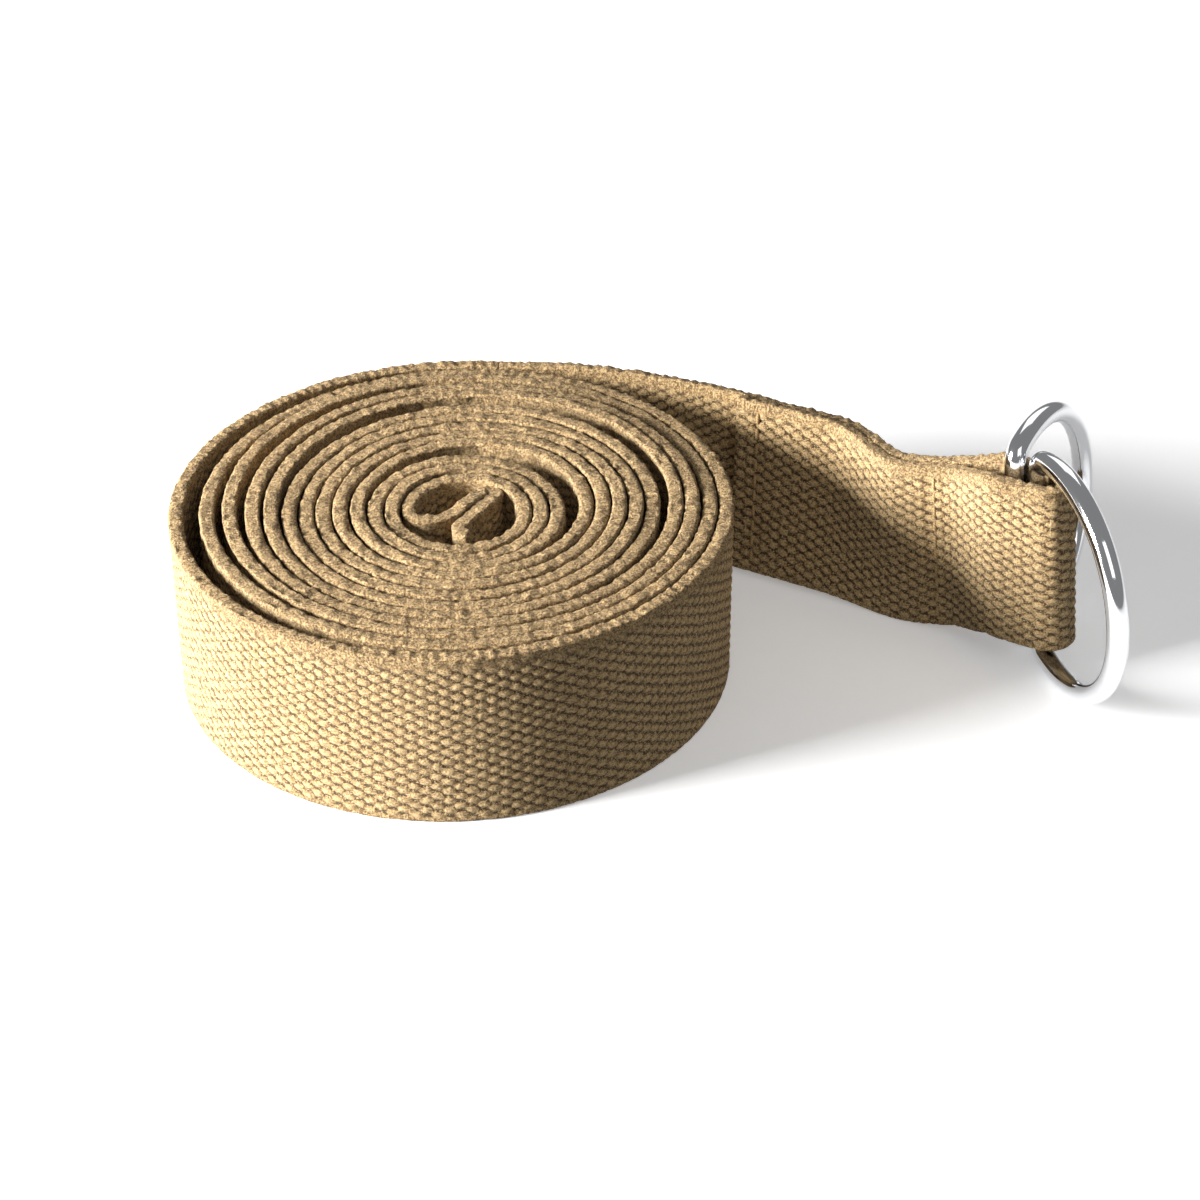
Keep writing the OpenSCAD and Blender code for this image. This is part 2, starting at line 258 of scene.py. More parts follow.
class Strap:
    """The whole strap's middle line, worked out from the settings."""

    def __init__(self, scene):
        self.web = scene.strap_webbing
        self.roll = scene.strap_roll
        self.tail = scene.strap_tail
        self.ring = scene.strap_ring
        self.half = self.web.width / 2
        self.turns = self.roll.turns + (CORE_DIRECTION - self.roll.leave) / 360
        self.bar_off = self.ring.wire / 2 + self.ring.gap + self.web.thickness / 2
        self.tab_off = -(self.web.thickness + self.tail.tab_gap)
        self.settle = self.tail.seam_back - self.ring.step - self.ring.wire
        self.lay_tail()
        roll_points, roll_ups = self.roll_line()
        tail_points, tail_ups = self.tail_line()
        self.line = Line(np.vstack([roll_points, tail_points[1:]]),
                         np.vstack([roll_ups, tail_ups[1:]]))
        self.roll_end = self.line.at[len(roll_points) - 1]

    def turn_radius(self, turn):
        pitch = self.web.thickness + self.roll.slack
        direction = CORE_DIRECTION - 360.0 * turn
        radius = self.roll.core + pitch * turn
        for first, way, bulge in LOOSE_SPOTS:
            facing = (1 + np.cos(np.radians(direction - way))) / 2
            radius = radius + bulge * facing ** 2 * smooth((turn - first) / LOOSE_RAMP + 0.5)
        return radius

    def spiral(self, turn):
        direction = np.radians(CORE_DIRECTION - 360.0 * turn)
        radius = self.turn_radius(turn)
        return np.stack([radius * np.cos(direction), radius * np.sin(direction)], -1)

    def roll_line(self):
        """From the free end, folded in the core, out to where the tail begins."""
        turn = np.linspace(0.0, self.turns, int(self.turns * TURN_POINTS) + 1)
        spiral = self.spiral(turn)
        core = self.roll.core
        hem = (self.web.thickness + HEM_GAP) / 2
        start = spiral[0] - spiral[1]
        curl = pen(spiral[0], math.degrees(math.atan2(start[1], start[0])),
                   [(87, ENTRY_BEND), (56, CROSS_BEND * core), (0, CROSS_RUN * core),
                    (-180, hem), (0, FLAP_RUN * core), (120, FLAP_BEND * core)])
        flat = np.vstack([curl[::-1], spiral])
        turn = np.concatenate([np.zeros(len(curl)), turn])
        direction = np.arctan2(flat[:, 1], flat[:, 0])
        at_back = ((1 + np.cos(direction - math.pi / 2)) / 2) ** PROUD_FALL
        starting, stopping = (smooth((turn - first) / over)
                              for first, over in (PROUD_FROM, PROUD_TO))
        ripple = sum(high * np.sin(rate * turn + start) for high, rate, start in RIPPLES)
        rise = (self.roll.proud * at_back * starting * (1 - stopping)
                + ripple * (1 - smooth(turn - RIPPLE_TO)))
        points = np.column_stack([flat, self.half + rise])
        ups = np.tile([0.0, 0.0, 1.0], (len(points), 1))
        return points, ups

    def lay_tail(self):
        """One arc off the roll, then straight past the rings, along the lower edge."""
        tail = self.tail
        ends = self.spiral(np.array([self.turns - ROOT_TURN, self.turns]))
        self.root = ends[1]
        run = ends[1] - ends[0]
        self.root_angle = math.degrees(math.atan2(run[1], run[0]))
        along = heading_vector(tail.heading)
        behind = heading_vector(tail.heading + 90)
        foot = np.array([tail.foot_x, tail.foot_y]) + self.bar_off * behind
        start = heading_vector(self.root_angle)
        gap = foot - self.root
        cross = start[0] * along[1] - start[1] * along[0]
        reach = (gap[0] * along[1] - gap[1] * along[0]) / cross
        self.bend = self.root_angle - tail.heading
        self.bend_radius = reach / math.tan(math.radians(self.bend / 2))
        self.bend_length = self.bend_radius * math.radians(self.bend)
        self.bend_centre = self.root + self.bend_radius * heading_vector(self.root_angle - 90)
        self.bend_end = self.root + reach * start + reach * along
        self.along = along
        self.bar_at = self.bend_length + np.linalg.norm(foot - self.bend_end)
        self.seam_at = self.bar_at - tail.seam_back
        self.cut_at = self.bar_at - tail.tab

    def tail_angle(self, s):
        return self.root_angle - self.bend * float(np.clip(s / self.bend_length, 0, 1))

    def lean(self, s):
        tail = self.tail
        if s < self.seam_at:
            twisted = smooth((s - self.seam_at + tail.twist_end) / tail.twist + 1)
            return (tail.lean_root * smooth(s / self.cut_at)
                    - (tail.lean_root - tail.lean_seam) * twisted)
        return mix(tail.lean_seam, tail.lean_ring, smooth((s - self.seam_at) / self.settle))

    def rake(self, s):
        tail = self.tail
        if s < self.cut_at:
            return tail.rake_cut * smooth(s / self.cut_at)
        near = mix(tail.rake_cut, tail.rake_seam,
                   smooth((s - self.cut_at) / (self.seam_at - self.cut_at)))
        return mix(near, tail.rake_ring, smooth((s - self.seam_at) / self.settle))

    def tail_frame(self, s):
        """Middle of the webbing, its run, its up and its back, s along the tail."""
        angle = self.tail_angle(s)
        if s < self.bend_length:
            plan = self.bend_centre + self.bend_radius * heading_vector(angle + 90)
        else:
            plan = self.bend_end + (s - self.bend_length) * self.along
        run = np.append(heading_vector(angle), 0.0)
        side = np.array([-run[1], run[0], 0.0])
        lean, rake = math.radians(self.lean(s)), math.radians(self.rake(s))
        up = unit(math.sin(lean) * side - math.sin(rake) * run
                  + math.cos(lean) * math.cos(rake) * np.array([0.0, 0.0, 1.0]))
        back = unit(np.cross(up, run))
        rise = float(np.clip((s - self.seam_at - self.settle) / self.tail.lift_len + 1, 0, 1))
        height = self.tail.lift * rise ** 2 + self.web.thickness / 2 * abs(math.sin(lean))
        middle = np.array([plan[0], plan[1], height]) + self.half * up
        return middle, run, up, back

    def tail_line(self):
        """Out along the back layer, round the front bar, and back along the tab."""
        end = self.bar_at + self.tail.loop_slack
        route = [(s, 0.0) for s in np.arange(0.0, end, RUN_STEP)]
        route += [(end + self.bar_off * math.sin(a), -self.bar_off * (1 - math.cos(a)))
                  for a in np.linspace(0, math.pi, BEND_POINTS)]
        for s in np.arange(self.bar_at, self.seam_at, -RUN_STEP):
            x = (s - self.seam_at) / self.tail.seam_back
            route.append((s, mix(self.tab_off, -2 * self.bar_off, smooth(x / LOOP_FLARE))))
        route += [(s, self.tab_off) for s in np.arange(self.seam_at, self.cut_at, -RUN_STEP)]
        route.append((self.cut_at, self.tab_off))
        points, ups = [], []
        for s, off in route:
            middle, _, up, back = self.tail_frame(s)
            points.append(middle + off * back)
            ups.append(up)
        return np.array(points), np.array(ups)


# ---- Webbing -----------------------------------------------------------------------------

EDGE_ROUND = 0.7 * MM       # radius of the webbing's edges
SELVEDGE = 1.1 * MM         # width of the plain selvedge at the lower edge
MATTED = 2.7 * MM           # and at the upper edge, where use has matted the fibres
BUMP_LONG = 1.42 * MM       # half the length of one bump of the weave
BUMP_TALL = 0.93 * MM       # half its height
BUMP_SLANT = 0.12           # how far it slants across the strap for each length along it
PLAIN_SHARE = 0.35          # share of the selvedge that has no weave
PLAIN_SINK = 0.35           # share of the relief by which the selvedge lies lower
FACE_CALM = 0.72            # share of the roughness that the woven faces don't have
EDGE_RISE = 0.25            # share of the roughness that lifts the rounded edges
RIB_KNOB = 0.10 * MM        # how far each rib pushes the edges out
CREASE = (0.45 * MM, 1.1 * MM)      # depth and spread of the crease that a seam pulls in
NOISE_GAIN = 2.1            # brings smoothed noise back to about its spread before

FINE = 4                    # mesh lengths to one rib of the weave where it is looked at
COARSE = 3                  # and where the webbing lies inside the roll
INSIDE_STEP = 3.2 * MM      # mesh widths across the faces inside the roll
BACK_STEP = 2.6 * MM        # and across the outermost turn's inner face
OUTER_TURNS = 1.1           # turns of the roll whose outer face shows
OUTER_POINTS = 400          # points in which their length is measured


def weave_height(along, across, web):
    """Height of the weave, 0 deep between the bumps and 1 on a crown: staggered ovals."""
    highest = np.zeros(np.broadcast(along, across).shape)
    for shift in (0.0, 0.5):
        a = ((along / (2 * web.along) + shift + 0.5) % 1.0 - 0.5) * 2 * web.along
        b = ((across / web.across + shift + 0.5) % 1.0 - 0.5) * web.across
        b = b - BUMP_SLANT * a
        b = (b / web.across + 0.5) % 1.0 * web.across - web.across / 2
        oval = 1.0 - (a / BUMP_LONG) ** 2 - (b / BUMP_TALL) ** 2
        highest = np.maximum(highest, oval)
    return np.sqrt(np.clip(highest, 0.0, 1.0))


def section(web, outer_step, inner_step):
    """Outline of the webbing across its run: place across, place through, and face."""
    half, through = web.width / 2, web.thickness / 2 + web.nap
    flat = half - EDGE_ROUND
    outer = np.linspace(-flat, flat, max(2, round(2 * flat / outer_step)) + 1)
    inner = np.linspace(flat, -flat, max(2, round(2 * flat / inner_step)) + 1)
    turn = np.radians([22.5, 45, 67.5, 90])
    corner = [(flat + EDGE_ROUND * math.sin(a), through - EDGE_ROUND * (1 - math.cos(a)))
              for a in turn]
    edge = corner + [(half, 0.0)] + [(v, -w) for v, w in corner[::-1]]
    rows = [(v, through, 1.0) for v in outer] + [(v, w, 0.0) for v, w in edge]
    rows += [(v, -through, -1.0) for v in inner] + [(-v, -w, 0.0) for v, w in edge]
    return np.array(rows)


def smoothed_noise(rng, shape):
    noise = rng.normal(size=shape)
    noise = (np.roll(noise, 1, 0) + 3 * noise + np.roll(noise, -1, 0)) / 5
    return (np.roll(noise, 1, 1) + 3 * noise + np.roll(noise, -1, 1)) / 5 * NOISE_GAIN


def webbing(name, strap, start, end, step, outer_step, inner_step, seed, creases=()):
    """One stretch of webbing along the strap's line, from start to end, closed at both ends."""
    web = strap.web
    count = max(2, round((end - start) / step))
    where = np.linspace(start, end, count + 1)
    points, ups, outs = strap.line.sample(where)
    rows = section(web, outer_step, inner_step)
    across, through, face = rows.T
    rng = np.random.default_rng(seed)
    grain = smoothed_noise(rng, (len(where), len(rows)))
    border = np.where(across > 0, MATTED, SELVEDGE)
    woven = smooth((web.width / 2 - np.abs(across)) / border - PLAIN_SHARE)
    height = weave_height(where[:, None], across[None, :], web)
    shown = np.abs(face) * woven
    sink = web.relief * (1.0 - height) * shown[None, :]
    sink = sink + web.relief * PLAIN_SINK * (1 - woven) * np.abs(face)
    for place, depth, spread in creases:
        fold = depth * np.exp(-((where - place) / spread) ** 2)
        sink = sink + fold[:, None] * (face[None, :] > 0)
    rough = web.grain * grain * (1 - FACE_CALM * shown)[None, :]
    ribbed = RIB_KNOB * np.cos(2 * math.pi * where / web.along)[:, None]
    rise = rough - sink
    knobs = (rough + ribbed) * (1 - np.abs(face))[None, :]
    knobs = np.where(across < 0, np.minimum(knobs, 0.0), knobs)     # the lower edge is at rest
    away = np.sign(across) * (1 - np.abs(face))
    normal = np.sign(through)[None, :] * np.where(np.abs(face) > 0, 1.0, EDGE_RISE)[None, :]
    place_across = across[None, :] + away[None, :] * knobs
    place_through = through[None, :] + normal * rise
    verts = (points[:, None, :] + ups[:, None, :] * place_across[:, :, None]
             + outs[:, None, :] * place_through[:, :, None])
    n, m = verts.shape[:2]
    index = np.arange(n * m).reshape(n, m)
    a, b = index[:-1], index[1:]
    quads = np.stack([a, np.roll(a, -1, 1), np.roll(b, -1, 1), b], -1).reshape(-1, 4)
    faces = quads.tolist() + [index[0][::-1].tolist(), index[-1].tolist()]
    mesh = bpy.data.meshes.new(name)
    mesh.from_pydata(verts.reshape(-1, 3).tolist(), [], faces)
    mesh.polygons.foreach_set("use_smooth", [True] * len(faces))
    for cap in (-2, -1):
        mesh.polygons[len(faces) + cap].use_smooth = False
    around = np.concatenate([[0.0], np.cumsum(np.hypot(np.diff(across), np.diff(through)))])
    layer = mesh.attributes.new("weave", "FLOAT_VECTOR", "POINT")
    values = np.stack([np.broadcast_to(where[:, None], (n, m)),
                       np.broadcast_to(np.where(face == 0, around, across)[None, :], (n, m)),
                       np.broadcast_to(shown[None, :], (n, m))], -1)
    layer.data.foreach_set("vector", values.reshape(-1))
    mesh.update()
    piece = bpy.data.objects.new(name, mesh)
    bpy.context.scene.collection.objects.link(piece)
    piece.data.materials.append(webbing_material(strap.web))
    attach(piece, STRAP_BODY)
    return piece


# ---- Materials ---------------------------------------------------------------------------

class Wire:
    """A shader socket that can be used in Python sums."""

    def __init__(self, graph, socket):
        self.graph = graph
        self.socket = socket

    def math(self, operation, *others):
        values = dict(enumerate((self, *others)))
        return self.graph.node("ShaderNodeMath", {"operation": operation}, values)

    def __add__(self, other):
        return self.math("ADD", other)

    def __radd__(self, other):
        return self.math("ADD", other)

    def __sub__(self, other):
        return self.math("SUBTRACT", other)

    def __rsub__(self, other):
        return self.graph.node("ShaderNodeMath", {"operation": "SUBTRACT"}, {0: other, 1: self})

    def __mul__(self, other):
        return self.math("MULTIPLY", other)

    def __rmul__(self, other):
        return self.math("MULTIPLY", other)

    def __mod__(self, other):
        return self.math("FLOORED_MODULO", other)

    def between(self, low, high):
        """0 below low, 1 above high, and smooth between."""
        return self.graph.node(
            "ShaderNodeMapRange", {"interpolation_type": "SMOOTHSTEP"},
            {"Value": self, "From Min": low, "From Max": high})


class Graph:
    """A material's nodes, with its principled shader."""

    def __init__(self, name):
        self.material = bpy.data.materials.new(name)
        self.material.use_nodes = True
        self.tree = self.material.node_tree
        self.shader = next(n for n in self.tree.nodes if n.type == "BSDF_PRINCIPLED")

    def node(self, kind, settings, values, output=0):
        node = self.tree.nodes.new(kind)
        for key, value in settings.items():
            setattr(node, key, value)
        self.feed(node, values)
        return Wire(self, node.outputs[output])

    def feed(self, node, values):
        for key, value in values.items():
            socket = node.inputs[key]
            if isinstance(value, Wire):
                self.tree.links.new(value.socket, socket)
            else:
                socket.default_value = value

    def shade(self, **values):
        self.feed(self.shader, {key.replace("_", " "): v for key, v in values.items()})

    def blend(self, factor, first, second):
        """Mixes two colours, each a wire or three numbers."""
        first, second = (c if isinstance(c, Wire) else (*c, 1.0) for c in (first, second))
        return self.node("ShaderNodeMix", {"data_type": "RGBA"},
                         {0: factor, 6: first, 7: second}, 2)

    def noise(self, vector, scale, detail=2.0, roughness=0.5):
        return self.node("ShaderNodeTexNoise", {}, {
            "Vector": vector, "Scale": scale, "Detail": detail, "Roughness": roughness})

    def bump(self, height, distance, strength=1.0):
        return self.node("ShaderNodeBump", {}, {
            "Height": height, "Distance": distance, "Strength": strength})


# Noise scales, in waves to the metre
SWAY_ALONG, SWAY_ACROSS = 420.0, 350.0      # how the yarn wanders from its straight line
FIBRES = (1300.0, 3400.0, 0.0)              # fibres, along and across the webbing
FUZZ, TUFTS, BLOTCHES = 2300.0, 1500.0, 28.0
SWAY_REACH = (0.0011, 0.0008)               # how far the yarn wanders along and across


def webbing_material(web):
    name = "cotton_webbing"
    if name in bpy.data.materials:
        return bpy.data.materials[name]
    graph = Graph(name)
    weave = graph.node("ShaderNodeAttribute", {"attribute_name": "weave"}, {}, 1)
    place = graph.node("ShaderNodeTexCoord", {}, {}, 3)
    split = graph.node("ShaderNodeSeparateXYZ", {}, {"Vector": weave})
    parts = [Wire(graph, out) for out in split.socket.node.outputs]
    sway_along = graph.noise(weave, SWAY_ALONG, 2.0) - 0.5
    sway_across = graph.noise(weave, SWAY_ACROSS, 2.0) - 0.5
    along = parts[0] + sway_along * SWAY_REACH[0]
    across = parts[1] + sway_across * SWAY_REACH[1]
    on_face = parts[2]

    def oval(shift):
        a = ((along * (0.5 / web.along) + (shift + 0.5)) % 1.0 - 0.5) * (2 * web.along)
        b = across - a * BUMP_SLANT
        b = ((b * (1 / web.across) + (shift + 0.5)) % 1.0 - 0.5) * web.across
        long, tall = a * (1 / BUMP_LONG), b * (1 / BUMP_TALL)
        return 1.0 - long * long - tall * tall

    crown = oval(0.0).math("MAXIMUM", oval(0.5)).math("MAXIMUM", 0.0)
    # Fibres run along each bump; the edges are matted into tufts and pitted. Painted shade
    # darkens each pit of the grain and a painted highlight lights each tuft.
    stretch = graph.node("ShaderNodeVectorMath", {"operation": "MULTIPLY"},
                         {0: weave, 1: FIBRES})
    fibres = graph.noise(stretch, 1.0, 3.0, 0.7)
    fine = graph.noise(place, FUZZ, 3.0, 0.8)
    matted = graph.noise(place, TUFTS, 4.0, 0.75)
    blotch = graph.noise(place, BLOTCHES, 3.0, 0.6)
    grain = (fibres * 0.4 + fine * 0.6) * on_face + (matted * 0.3 + fine * 0.7) * (1.0 - on_face)
    height = crown * on_face + matted * (1.0 - on_face)
    # Painted shade: low places turn to the hollow shade colour, between the bumps on the faces
    # and in the low spots of the matted edges
    tone = graph.blend(height.between(0.0, 0.46), web.hollow_shade, web.yarn)
    # Painted highlight: the crowns of the bumps and the high spots of the matted edges turn
    # towards the yarn highlight colour
    tone = graph.blend(height.between(0.35, 1.0) * 0.8, tone, web.yarn_highlight)
    # Painted shade in the pits of the grain, deeper on the edges and selvedges than on the woven
    # faces
    pit_shade = grain.between(0.42, 0.535)
    tone = graph.blend(pit_shade, graph.blend(0.85 - on_face * 0.25, tone, web.hollow_shade), tone)
    # Painted highlight on the tufts of the grain
    tone = graph.blend(grain.between(0.50, 0.59) * 0.9, tone, web.yarn_highlight)
    shade = blotch.between(0.25, 0.75)
    # Random blotches, a little darker, mixed towards the hollow shade colour
    tone = graph.blend(shade * 0.35, tone, graph.blend(0.22, tone, web.hollow_shade))
    relief = crown * on_face * 0.16 + grain * (1.5 - on_face * 0.5)
    normal = graph.bump(relief, 0.00120, 1.0)
    graph.shade(Base_Color=tone, Roughness=0.84 + grain * 0.12, Normal=normal)
    graph.shader.inputs["Sheen Weight"].default_value = 0.25
    graph.shader.inputs["Sheen Roughness"].default_value = 0.5
    graph.shader.inputs["Sheen Tint"].default_value = (1.0, 0.88, 0.66, 1.0)
    graph.shader.inputs["Specular IOR Level"].default_value = 0.2
    return graph.material


def thread_material(sewing):
    graph = Graph("sewing_thread")
    place = graph.node("ShaderNodeTexCoord", {}, {}, 3)
    twist = graph.node("ShaderNodeTexWave", {"wave_type": "BANDS", "bands_direction": "DIAGONAL"},
                       {"Vector": place, "Scale": 900.0, "Distortion": 1.2, "Detail": 1.0})
    fuzz = graph.noise(place, 3200.0, 2.0)
    dark = tuple(0.45 * c for c in sewing.colour)
    tone = graph.blend(twist * 0.7 + fuzz * 0.3, dark, tuple(sewing.colour))
    graph.shade(Base_Color=tone, Roughness=0.75 + fuzz * 0.15,
                Normal=graph.bump(twist * 0.7 + fuzz * 0.5, 0.00012, 0.8))
    return graph.material


def ring_material(ring):
    graph = Graph("polished_plating")
    place = graph.node("ShaderNodeTexCoord", {}, {}, 3)
    haze = graph.noise(place, 60.0, 3.0, 0.6)
    hair = graph.node("ShaderNodeVectorMath", {"operation": "MULTIPLY"},
                      {0: place, 1: (500.0, 500.0, 6000.0)})
    scratches = graph.noise(hair, 1.0, 2.0, 0.6).between(0.60, 0.80)
    worn = tuple(0.86 * c for c in ring.metal)
    tone = graph.blend(haze.between(0.35, 0.8) * 0.5, tuple(ring.metal), worn)
    graph.shade(Base_Color=tone, Metallic=1.0, Roughness=0.05 + haze * 0.07 + scratches * 0.05,
                Normal=graph.bump(haze * 0.6 + scratches * 0.05, 0.00006, 0.5))
    return graph.material


def floor_material(stage):
    graph = Graph("pale_floor")
    place = graph.node("ShaderNodeTexCoord", {}, {}, 3)
    cloud = graph.noise(place, 1.4, 2.0)
    light = tuple(stage.floor)
    tone = graph.blend(cloud, light, tuple(0.985 * c for c in light))
    graph.shade(Base_Color=tone, Roughness=0.9, Emission_Color=tone)
    graph.shader.inputs["Emission Strength"].default_value = stage.glow
    return graph.material


# ---- Operators ---------------------------------------------------------------------------

def nothing_selected():
    if bpy.context.object and bpy.context.object.mode != "OBJECT":
        bpy.ops.object.mode_set(mode="OBJECT")
    bpy.ops.object.select_all(action="DESELECT")


def outer_start(strap):
    """Length along the strap at which the roll's outermost turn begins."""
    turn = np.linspace(strap.turns - OUTER_TURNS, strap.turns, OUTER_POINTS)
    steps = np.linalg.norm(np.diff(strap.spiral(turn), axis=0), axis=1)
    return strap.roll_end - float(steps.sum())


class STRAP_OT_inner_turns(bpy.types.Operator):
    """Build the folded free end and the inner turns of the roll"""
    bl_idname = "strap.inner_turns"
    bl_label = "Inner turns"

    def execute(self, context):
        nothing_selected()
        strap = Strap(context.scene)
        end = outer_start(strap)
        step = strap.web.along / COARSE
        piece = webbing("webbing_inner_turns", strap, 0.0, end, step, INSIDE_STEP, INSIDE_STEP,
                        seed=11)
        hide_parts("strap_roll")
        return {"FINISHED"}


class STRAP_OT_outer_turn(bpy.types.Operator):
    """Build the outermost turn of the roll"""
    bl_idname = "strap.outer_turn"
    bl_label = "Outer turn"

    def execute(self, context):
        nothing_selected()
        strap = Strap(context.scene)
        start = outer_start(strap)
        step = strap.web.along / FINE
        piece = webbing("webbing_outer_turn", strap, start, strap.roll_end, step,
                        strap.web.across / FINE, BACK_STEP, seed=12)
        return {"FINISHED"}


class STRAP_OT_tail(bpy.types.Operator):
    """Build the tail, the loop round the bars and the tab sewn back onto the tail"""
    bl_idname = "strap.tail"
    bl_label = "Tail and loop"

    def execute(self, context):
        nothing_selected()
        strap = Strap(context.scene)
        start, end = strap.roll_end, float(strap.line.at[-1])
        step, across = strap.web.along / FINE, strap.web.across / FINE
        sewing = context.scene.strap_sewing
        tab_seam = end - sewing.tab_seam_in
        loop_seam = end - (strap.seam_at - strap.cut_at) + sewing.gap + sewing.thread
        creases = ((tab_seam, *CREASE), (loop_seam, *CREASE))
        piece = webbing("webbing_tail", strap, start, end, step, across, across,
                        seed=13, creases=creases)
        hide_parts("strap_tail", "ring_loop", "loop_tab")
        return {"FINISHED"}


WIRE_SIDES = 32             # sides of the wire
BAR_LENGTHS = 8             # mesh lengths of the bar
CORNER_LENGTHS = 14         # of each corner
BOW_LENGTHS = 120           # and of the bow
WELD_REACH = 0.02 * MM      # points closer than this are merged


def bent_ring(name, ring, width):
    """Bends one D-ring from a circle of wire: up the bar, round a corner, the bow, a corner."""
    inner, bow_off = width / 2 + ring.room - ring.corner, ring.bow_off - ring.corner
    bar_half = math.sqrt(inner ** 2 - bow_off ** 2)
    bow_half = math.atan2(bar_half, -bow_off)
    corner_turn = math.pi - bow_half
    bpy.ops.mesh.primitive_circle_add(vertices=WIRE_SIDES, radius=ring.wire / 2,
                                      location=(0, 0, -bar_half))
    piece = bpy.context.object
    piece.name = piece.data.name = name
    bpy.ops.object.transform_apply(location=True, rotation=True, scale=True)
    bpy.ops.object.mode_set(mode="EDIT")
    bpy.ops.mesh.select_all(action="SELECT")
    for _ in range(BAR_LENGTHS):
        bpy.ops.mesh.extrude_region_move(
            TRANSFORM_OT_translate={"value": (0, 0, 2 * bar_half / BAR_LENGTHS)})
    for centre, turn, steps in (((ring.corner, 0, bar_half), corner_turn, CORNER_LENGTHS),
                                ((ring.bow_off, 0, 0), 2 * bow_half, BOW_LENGTHS),
                                ((ring.corner, 0, -bar_half), corner_turn, CORNER_LENGTHS)):
        bpy.ops.mesh.spin(steps=steps, angle=turn, center=centre, axis=(0, -1, 0))
    bpy.ops.mesh.select_all(action="SELECT")
    bpy.ops.mesh.remove_doubles(threshold=WELD_REACH)
    bpy.ops.mesh.normals_make_consistent(inside=False)
    bpy.ops.mesh.faces_shade_smooth()
    bpy.ops.object.mode_set(mode="OBJECT")
    return piece


class STRAP_OT_rings(bpy.types.Operator):
    """Bend the two D-rings and hang them in the loop"""
    bl_idname = "strap.rings"
    bl_label = "D-rings"

    def execute(self, context):
        ring = context.scene.strap_ring
        metal = ring_material(ring)
        for node, joint in (("front_ring", "front_ring_swing"), ("rear_ring", "rear_ring_swing")):
            nothing_selected()
            piece = bent_ring("d_" + node, ring, context.scene.strap_webbing.width)
            low, high = (Vector(corner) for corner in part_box(node))
            bar = Vector(JOINTS[joint]["pos_m"])
            up = Vector(JOINTS[joint]["axis"]).normalized()
            out = (low + high) / 2 - bar
            out = (out - out.dot(up) * up).normalized()
            place = Matrix((out, up.cross(out), up)).transposed().to_4x4()
            piece.data.transform(Matrix.Translation(bar) @ place)
            piece.data.materials.append(metal)
            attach(piece, JOINTS[joint]["child"])
            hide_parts(node)
        return {"FINISHED"}


THREAD_SUNK = 0.22 * MM     # how far a stitch's middle lies inside the webbing's face
HEM_PROUD = 0.3 * MM        # how much farther out the hem's stitches lie
HEM_PLACES = (1.0 * MM, 1.3 * MM, 1.6 * MM)     # round the hem seam, from the free end


def sewn_row(name, rows, sewing, width, material):
    """A row of stitches at each of the given places: middle, up and outward directions."""
    nothing_selected()
    pitch = sewing.stitch + sewing.gap
    count = int((width - 2 * sewing.gap) / pitch)
    bpy.ops.mesh.primitive_uv_sphere_add(segments=12, ring_count=8, radius=0.5)
    first = bpy.context.object
    first.data.transform(Matrix.Diagonal((sewing.thread, sewing.thread, sewing.stitch, 1)))
    bpy.ops.object.shade_smooth()
    pieces = []
    for middle, up, out in rows:
        up, out = Vector(up), Vector(out)
        turned = Matrix((out.cross(up), out, up)).transposed().to_4x4()
        for k in range(count):
            at = Vector(middle) + (k - (count - 1) / 2) * pitch * up
            copy = first.copy()
            copy.data = first.data.copy()
            bpy.context.scene.collection.objects.link(copy)
            copy.data.transform(Matrix.Translation(at) @ turned)
            pieces.append(copy)
    bpy.data.objects.remove(first)
    nothing_selected()
    for copy in pieces:
        copy.select_set(True)
    bpy.context.view_layer.objects.active = pieces[0]
    bpy.ops.object.join()
    piece = bpy.context.object
    piece.name = piece.data.name = name
    piece.data.materials.append(material)
    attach(piece, STRAP_BODY)
    return piece


class STRAP_OT_seams(bpy.types.Operator):
    """Sew the tab to the tail, at its cut end and behind the rings, and the free end's hem"""
    bl_idname = "strap.seams"
    bl_label = "Seams"

    def execute(self, context):
        strap = Strap(context.scene)
        sewing = context.scene.strap_sewing
        material = thread_material(sewing)
        proud = strap.web.thickness / 2 - THREAD_SUNK
        for node, s in (("loop_seam", strap.seam_at - sewing.gap - sewing.thread),
                        ("tab_seam", strap.cut_at + sewing.tab_seam_in)):
            middle, _, up, back = strap.tail_frame(s)
            rows = [(middle + (strap.tab_off - proud) * back, up, -back),
                    (middle + proud * back, up, back)]
            piece = sewn_row(node + "_stitches", rows, sewing, strap.web.width, material)
            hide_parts(node)
        points, ups, outs = strap.line.sample(HEM_PLACES)
        rows = [(points[1] + (proud + HEM_PROUD) * outs[1], ups[1], outs[1])]
        piece = sewn_row("hem_seam_stitches", rows, sewing, strap.web.width, material)
        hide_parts("hem_seam")
        return {"FINISHED"}


FLOOR_SIDE = 8.0
LIT_POINT = Vector((0.02, 0.0, 0.02))       # what the lamps are turned to
CAMERA_PLACE = (0.02768, -0.48223, 0.33027)
CAMERA_TILT = 56.98                         # degrees up from straight down
CAMERA_LENS, CAMERA_SENSOR = 84.0, 36.0     # millimetres


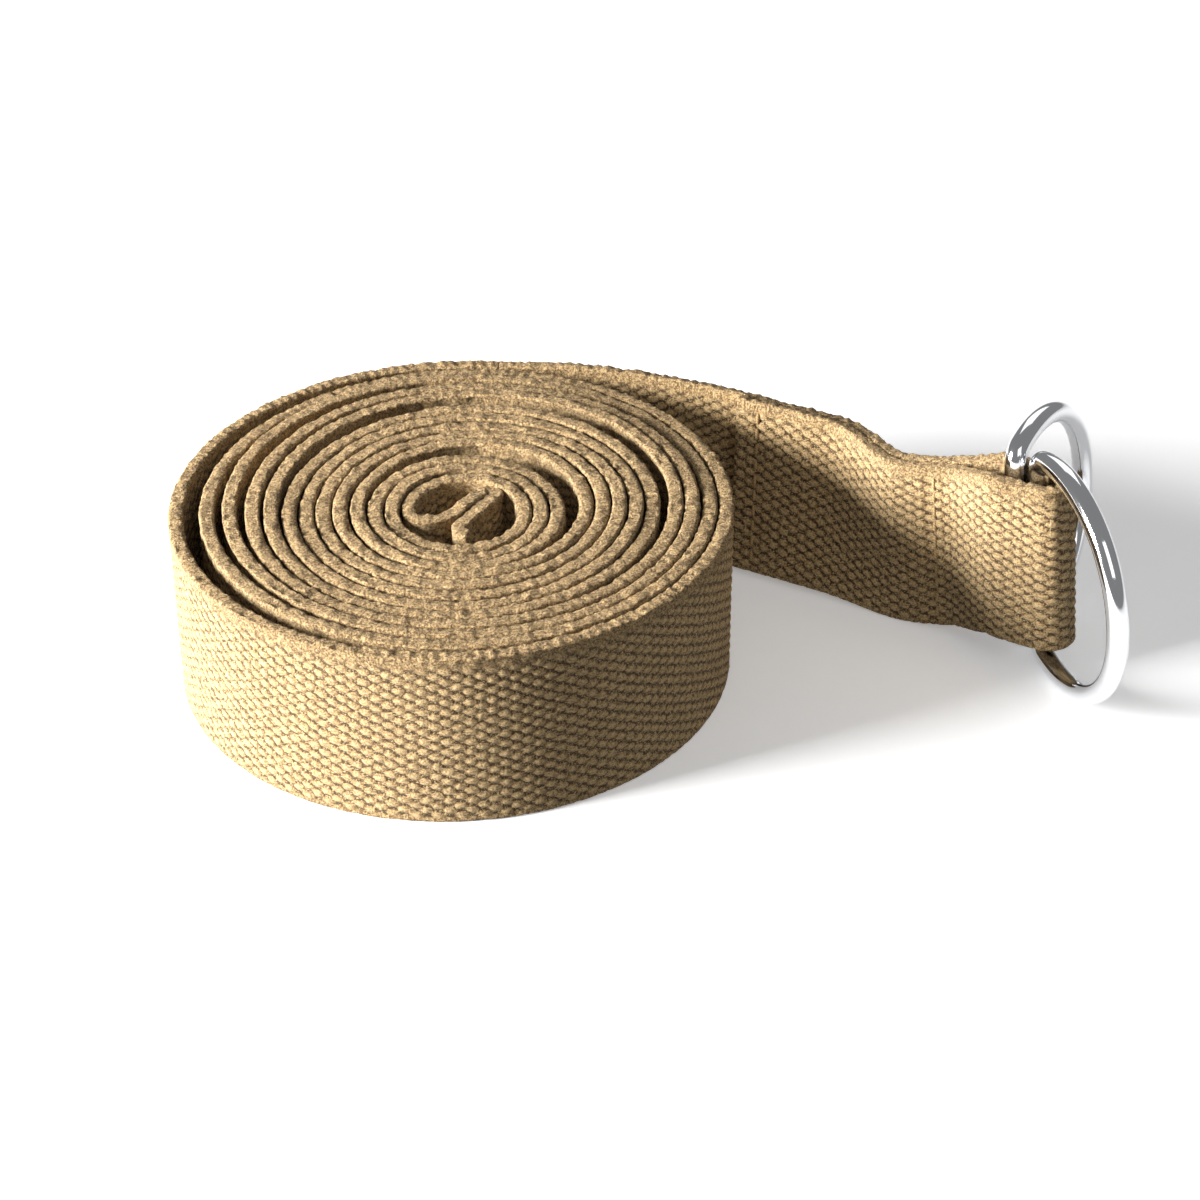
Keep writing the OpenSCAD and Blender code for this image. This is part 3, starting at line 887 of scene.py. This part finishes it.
class STRAP_OT_stage(bpy.types.Operator):
    """Lay the floor and set the lights and the camera"""
    bl_idname = "strap.stage"
    bl_label = "Stage"

    def execute(self, context):
        nothing_selected()
        stage = context.scene.strap_stage
        bpy.ops.mesh.primitive_grid_add(x_subdivisions=8, y_subdivisions=8, size=FLOOR_SIDE,
                                        location=(0, 0, min(0.0, CAD_BOX[0][2])))
        floor = context.object
        floor.name = "floor"
        floor.data.materials.append(floor_material(stage))
        floor.visible_diffuse = False
        for name, place, size, power, on_cloth in (
                ("key_light", (-0.95, -0.28, 0.29), 0.42, stage.key, True),
                ("fill_light", (0.35, -0.80, 0.75), 0.60, stage.fill, True),
                ("reflector", (0.20, 0.80, 0.62), 0.62, stage.reflector, False)):
            light = bpy.data.lights.new(name, "AREA")
            light.energy = power
            light.size = size
            lamp = bpy.data.objects.new(name, light)
            lamp.location = place
            lamp.visible_diffuse = on_cloth
            lamp.visible_camera = False
            lamp.rotation_euler = (LIT_POINT - Vector(place)).to_track_quat("-Z", "Y").to_euler()
            context.scene.collection.objects.link(lamp)
        world = bpy.data.worlds.new("studio")
        world.use_nodes = True
        sky = next(n for n in world.node_tree.nodes if n.type == "BACKGROUND")
        sky.inputs["Color"].default_value = (1.0, 1.0, 1.0, 1.0)
        sky.inputs["Strength"].default_value = stage.sky
        context.scene.world = world
        context.scene.view_settings.view_transform = "Standard"
        lens = bpy.data.cameras.new("camera")
        lens.sensor_width = CAMERA_SENSOR
        lens.lens = CAMERA_LENS
        camera = bpy.data.objects.new("camera", lens)
        camera.location = CAMERA_PLACE
        camera.rotation_euler = (math.radians(CAMERA_TILT), 0.0, 0.0)
        context.scene.collection.objects.link(camera)
        context.scene.camera = camera
        return {"FINISHED"}


OPERATORS = (STRAP_OT_inner_turns, STRAP_OT_outer_turn, STRAP_OT_tail, STRAP_OT_rings,
             STRAP_OT_seams, STRAP_OT_stage)
SETTINGS = {"strap_webbing": WebbingSettings, "strap_roll": RollSettings,
            "strap_tail": TailSettings, "strap_ring": RingSettings,
            "strap_sewing": SewingSettings, "strap_stage": StageSettings}


class STRAP_PT_panel(bpy.types.Panel):
    bl_idname = "STRAP_PT_panel"
    bl_label = "Stretching strap"
    bl_space_type = "VIEW_3D"
    bl_region_type = "UI"
    bl_category = "Strap"

    def draw(self, context):
        for name, group in SETTINGS.items():
            box = self.layout.box()
            box.label(text=name.replace("_", " ").capitalize())
            for prop in group.__annotations__:
                box.prop(getattr(context.scene, name), prop)
        for operator in OPERATORS:
            self.layout.operator(operator.bl_idname)


CLASSES = (*SETTINGS.values(), *OPERATORS, STRAP_PT_panel)


def register():
    for cls in CLASSES:
        bpy.utils.register_class(cls)
    for name, group in SETTINGS.items():
        setattr(bpy.types.Scene, name, bpy.props.PointerProperty(type=group))


def unregister():
    for name in SETTINGS:
        delattr(bpy.types.Scene, name)
    for cls in reversed(CLASSES):
        bpy.utils.unregister_class(cls)


def main():
    register()
    bpy.ops.strap.inner_turns()
    bpy.ops.strap.outer_turn()
    bpy.ops.strap.tail()
    bpy.ops.strap.rings()
    bpy.ops.strap.seams()
    bpy.ops.strap.stage()


if __name__ == "__main__":
    main()
